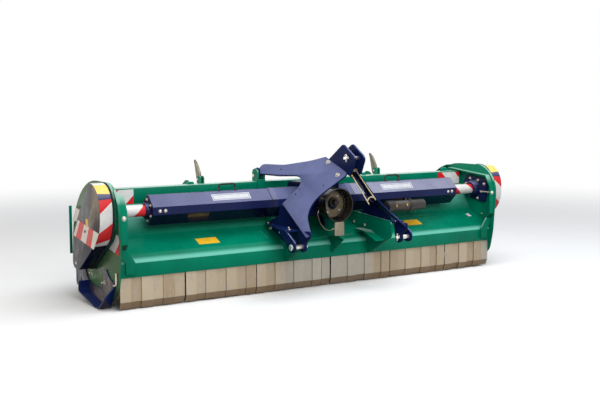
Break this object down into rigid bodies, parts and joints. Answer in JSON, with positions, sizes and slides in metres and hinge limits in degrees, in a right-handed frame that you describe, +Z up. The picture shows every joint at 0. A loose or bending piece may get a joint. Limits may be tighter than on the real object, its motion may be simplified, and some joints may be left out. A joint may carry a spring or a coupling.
{
  "type": "hammer knife mower",
  "caption": "Wide tractor-mounted flail mower with a folded hood, belt drives at both ends, a hammer rotor, front flaps, a rear roller and a three-point headstock.",
  "frame": {"origin": "on the ground, under the middle of the whole machine's bounding box", "axes": "+X along the mower to its right end as the picture sees it, +Y back from the tractor, +Z up"},
  "size_m": [3.25, 1.35, 0.9786],
  "materials": {
    "green_paint": "gloss green enamel",
    "blue_paint": "gloss dark blue enamel",
    "striped_guard": "white with red diagonal bands",
    "black_plastic": "satin black",
    "zinc": "zinc plated",
    "yellow_zinc": "yellow passivated zinc",
    "flap_zinc": "pale yellow passivated sheet",
    "steel": "machined steel",
    "bare_steel": "forged, worn bright at the edges",
    "cast_iron": "dull grey",
    "rubber": "matt black"
  },
  "bodies": {
    "mower_frame": {"bonnet_hinge_rod": "zinc", "cable_tab": "zinc", "document_canister": "black_plastic", "gearbox_housing": "blue_paint", "guard_cable": "yellow_zinc", "hood_shell": "green_paint", "input_guard": "black_plastic", "left_bearing_flange": "blue_paint", "left_belt": "rubber", "left_belt_cover": "blue_paint", "left_cover_handle": "black_plastic", "left_hitch_plate": "blue_paint", "left_horn": "steel", "left_lower_lug": "blue_paint", "left_roller_arm": "blue_paint", "left_rotor_bearing": "cast_iron", "left_shaft_cover": "blue_paint", "left_shaft_guard": "striped_guard", "left_side_plate": "green_paint", "left_skid": "blue_paint", "right_bearing_flange": "blue_paint", "right_belt": "rubber", "right_belt_cover": "blue_paint", "right_cover_handle": "black_plastic", "right_hitch_plate": "blue_paint", "right_horn": "steel", "right_lower_lug": "blue_paint", "right_roller_arm": "blue_paint", "right_rotor_bearing": "cast_iron", "right_shaft_cover": "blue_paint", "right_shaft_guard": "striped_guard", "right_side_plate": "green_paint", "top_beam": "green_paint", "top_link_bracket": "blue_paint"},
    "rotor_set": {"rotor": "cast_iron", "left_rotor_pulley": "cast_iron", "right_rotor_pulley": "cast_iron"},
    "cross_shaft_set": {"cross_shaft": "steel", "crown_gear": "steel", "left_drive_pulley": "cast_iron", "right_drive_pulley": "cast_iron"},
    "input_shaft_set": {"input_shaft": "steel"},
    "hammers_rear_upper": {"hammer_row_rear_upper": "bare_steel"},
    "hammers_front_upper": {"hammer_row_front_upper": "bare_steel"},
    "hammers_front_lower": {"hammer_row_front_lower": "bare_steel"},
    "hammers_rear_lower": {"hammer_row_rear_lower": "bare_steel"},
    "roller": {"rear_roller": "cast_iron"},
    "bonnet": {"rear_bonnet": "green_paint"},
    "drive_shaft_rest": {"shaft_rest": "yellow_zinc"},
    "cap": {"canister_cap": "black_plastic"},
    "upper_pin": {"top_link_pin": "zinc"},
    "left_lower_pin": {"left_hitch_pin": "zinc"},
    "right_lower_pin": {"right_hitch_pin": "zinc"},
    "front_flaps_left_outer": {"flaps_left_outer": "flap_zinc"},
    "front_flaps_left_middle": {"flaps_left_middle": "flap_zinc"},
    "front_flaps_left_inner": {"flaps_left_inner": "flap_zinc"},
    "front_flaps_right_inner": {"flaps_right_inner": "flap_zinc"},
    "front_flaps_right_middle": {"flaps_right_middle": "flap_zinc"},
    "front_flaps_right_outer": {"flaps_right_outer": "flap_zinc"}
  },
  "joints": [
    {"name": "rotor_spin", "type": "hinge", "parent": "mower_frame", "child": "rotor_set", "pos_m": [0, 0.255, 0.305], "axis": [1, 0, 0], "continuous": true},
    {"name": "cross_shaft_spin", "type": "hinge", "parent": "mower_frame", "child": "cross_shaft_set", "pos_m": [0, 0.015, 0.585], "axis": [1, 0, 0], "continuous": true},
    {"name": "input_shaft_spin", "type": "hinge", "parent": "mower_frame", "child": "input_shaft_set", "pos_m": [0, -0.155, 0.585], "axis": [0, 1, 0], "continuous": true},
    {"name": "hammers_rear_upper_swing", "type": "hinge", "parent": "rotor_set", "child": "hammers_rear_upper", "pos_m": [0, 0.3492, 0.37096], "axis": [1, 0, 0], "range_deg": [-5, 250]},
    {"name": "hammers_front_upper_swing", "type": "hinge", "parent": "rotor_set", "child": "hammers_front_upper", "pos_m": [0, 0.1608, 0.37096], "axis": [1, 0, 0], "range_deg": [-250, 5]},
    {"name": "hammers_front_lower_swing", "type": "hinge", "parent": "rotor_set", "child": "hammers_front_lower", "pos_m": [0, 0.1608, 0.23904], "axis": [1, 0, 0], "range_deg": [-180, 75]},
    {"name": "hammers_rear_lower_swing", "type": "hinge", "parent": "rotor_set", "child": "hammers_rear_lower", "pos_m": [0, 0.3492, 0.23904], "axis": [1, 0, 0], "range_deg": [-75, 180]},
    {"name": "roller_spin", "type": "hinge", "parent": "mower_frame", "child": "roller", "pos_m": [0, 0.573, 0.08], "axis": [1, 0, 0], "continuous": true},
    {"name": "bonnet_open", "type": "hinge", "parent": "mower_frame", "child": "bonnet", "pos_m": [0, 0.315, 0.64], "axis": [1, 0, 0], "range_deg": [0, 60]},
    {"name": "rest_fold", "type": "hinge", "parent": "mower_frame", "child": "drive_shaft_rest", "pos_m": [0, -0.455, 0.812], "axis": [1, 0, 0], "range_deg": [-70, 42]},
    {"name": "cap_pull", "type": "slide", "parent": "mower_frame", "child": "cap", "axis": [-1, 0, 0], "range_m": [0, 0.06]},
    {"name": "upper_pin_pull", "type": "slide", "parent": "mower_frame", "child": "upper_pin", "axis": [1, 0, 0], "range_m": [0, 0.13]},
    {"name": "left_lower_pin_pull", "type": "slide", "parent": "mower_frame", "child": "left_lower_pin", "axis": [-1, 0, 0], "range_m": [0, 0.12]},
    {"name": "right_lower_pin_pull", "type": "slide", "parent": "mower_frame", "child": "right_lower_pin", "axis": [1, 0, 0], "range_m": [0, 0.12]},
    {"name": "flaps_left_outer_swing", "type": "hinge", "parent": "mower_frame", "child": "front_flaps_left_outer", "pos_m": [-1.2805, -0.141, 0.232], "axis": [1, 0, 0], "range_deg": [0, 60]},
    {"name": "flaps_left_middle_swing", "type": "hinge", "parent": "mower_frame", "child": "front_flaps_left_middle", "pos_m": [-0.8049, -0.141, 0.232], "axis": [1, 0, 0], "range_deg": [0, 60]},
    {"name": "flaps_left_inner_swing", "type": "hinge", "parent": "mower_frame", "child": "front_flaps_left_inner", "pos_m": [-0.2561, -0.141, 0.232], "axis": [1, 0, 0], "range_deg": [0, 60]},
    {"name": "flaps_right_inner_swing", "type": "hinge", "parent": "mower_frame", "child": "front_flaps_right_inner", "pos_m": [0.2927, -0.141, 0.232], "axis": [1, 0, 0], "range_deg": [0, 60]},
    {"name": "flaps_right_middle_swing", "type": "hinge", "parent": "mower_frame", "child": "front_flaps_right_middle", "pos_m": [0.8049, -0.141, 0.232], "axis": [1, 0, 0], "range_deg": [0, 60]},
    {"name": "flaps_right_outer_swing", "type": "hinge", "parent": "mower_frame", "child": "front_flaps_right_outer", "pos_m": [1.2805, -0.141, 0.232], "axis": [1, 0, 0], "range_deg": [0, 60]}
  ],
  "couplings": [
    {"joint": "cross_shaft_spin", "follows": "rotor_spin", "ratio": 0.6667},
    {"joint": "input_shaft_spin", "follows": "rotor_spin", "ratio": 0.6667}
  ]
}
